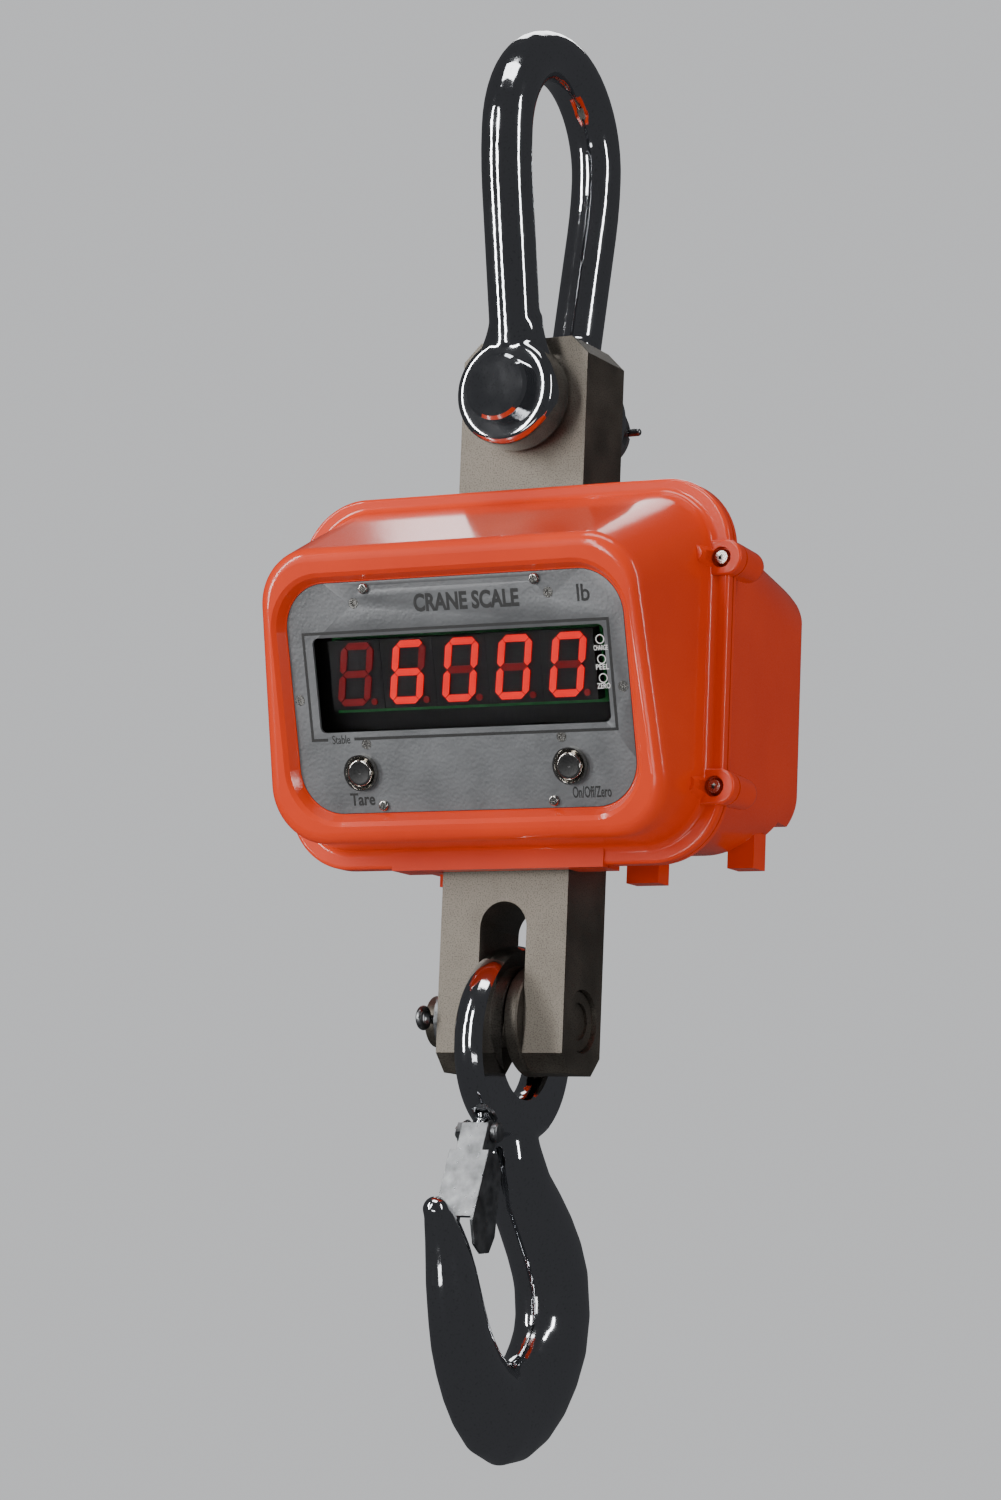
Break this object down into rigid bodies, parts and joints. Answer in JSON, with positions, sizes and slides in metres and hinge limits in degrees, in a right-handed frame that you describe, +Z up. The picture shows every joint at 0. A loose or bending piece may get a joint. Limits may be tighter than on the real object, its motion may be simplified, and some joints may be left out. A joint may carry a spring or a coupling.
{
  "type": "crane scale",
  "caption": "Hanging crane scale: bow shackle, steel load cell through a cast housing with a sloped lit digit display and push buttons, and an eye hook with a sprung latch.",
  "frame": {"origin": "the seat inside the crown of the shackle bow, where the crane hook bears", "axes": "+Z up along the load line, +X to the right when facing the display, -Y out of the display front"},
  "size_m": [0.2476, 0.2121, 0.7027],
  "materials": {
    "polished_steel": "mirror chrome plate over forged steel",
    "zinc_steel": "bright zinc plate, slightly dull",
    "spring_steel": "drawn spring wire",
    "cell_steel": "fine-ground bare alloy steel, satin",
    "nickel": "bright nickel plate",
    "cable_jacket": "matt black cable jacket",
    "orange_paint": "glossy orange-red powder coat on die-cast aluminium",
    "seal_rubber": "matt black rubber",
    "stainless": "stainless steel",
    "brass": "bare brass",
    "panel_silver": "grey hammer-finish aluminium",
    "window_tint": "dark tinted acrylic",
    "black_plastic": "black plastic",
    "board_green": "green solder-masked board",
    "lit_red": "glowing red display segment",
    "dark_red": "unlit red display segment",
    "battery_case": "dark ABS battery case"
  },
  "bodies": {
    "shackle": {"shackle_bow": "polished_steel", "shackle_pin": "polished_steel", "shackle_washer": "zinc_steel", "shackle_nut": "zinc_steel", "shackle_split_pin": "zinc_steel"},
    "scale": {"load_cell": "cell_steel", "gauge_covers": "cell_steel", "cell_gland": "nickel", "cell_cable": "cable_jacket", "rear_housing": "orange_paint", "front_cover": "orange_paint", "cover_gasket": "seal_rubber", "cover_screws": "stainless", "top_seal": "seal_rubber", "bottom_seal": "seal_rubber", "left_bracket": "zinc_steel", "right_bracket": "zinc_steel", "bracket_screws": "stainless", "control_panel": "panel_silver", "panel_screws": "stainless", "display_window": "window_tint", "display_carrier": "black_plastic", "carrier_screws": "stainless", "display_board": "board_green", "digit_modules": "black_plastic", "lit_segments": "lit_red", "dark_segments": "dark_red", "status_lamps": "dark_red", "main_board": "board_green", "board_parts": "black_plastic", "board_standoffs": "brass", "tare_button_bezel": "nickel", "power_button_bezel": "nickel", "tare_button_switch": "black_plastic", "power_button_switch": "black_plastic", "bezel_nuts": "nickel", "battery": "battery_case", "battery_terminals": "brass", "battery_tray": "black_plastic", "tray_screws": "stainless", "battery_door": "orange_paint", "door_gasket": "seal_rubber", "door_screws": "stainless", "charge_socket": "black_plastic", "charge_socket_cap": "seal_rubber", "hook_pin": "cell_steel", "hook_pin_washer": "zinc_steel", "hook_spacer": "cell_steel", "hook_split_pin": "zinc_steel"},
    "hook": {"hook": "polished_steel", "latch_bolt": "zinc_steel", "latch_nut": "zinc_steel", "latch_spring": "spring_steel"},
    "latch": {"safety_latch": "zinc_steel"},
    "tare_button": {"tare_button_ring": "nickel", "tare_button_face": "black_plastic"},
    "power_button": {"power_button_ring": "nickel", "power_button_face": "black_plastic"}
  },
  "joints": [
    {"name": "scale_swing", "type": "hinge", "parent": "shackle", "child": "scale", "pos_m": [0, 0, -0.164], "axis": [0, 1, 0], "range_deg": [-40, 40]},
    {"name": "hook_swing", "type": "hinge", "parent": "scale", "child": "hook", "pos_m": [0, 0, -0.466], "axis": [1, 0, 0], "range_deg": [-35, 35]},
    {"name": "latch_open", "type": "hinge", "parent": "hook", "child": "latch", "pos_m": [-0.002, -0.0305, -0.521], "axis": [1, 0, 0], "range_deg": [0, 35], "stiffness_Nm_per_rad": 0.15, "springref_deg": -34.38},
    {"name": "tare_press", "type": "slide", "parent": "scale", "child": "tare_button", "axis": [0, 0.9606, 0.2778], "range_m": [0, 0.001], "stiffness_N_per_m": 1500, "springref_m": -0.0006},
    {"name": "power_press", "type": "slide", "parent": "scale", "child": "power_button", "axis": [0, 0.9606, 0.2778], "range_m": [0, 0.001], "stiffness_N_per_m": 1500, "springref_m": -0.0006}
  ]
}
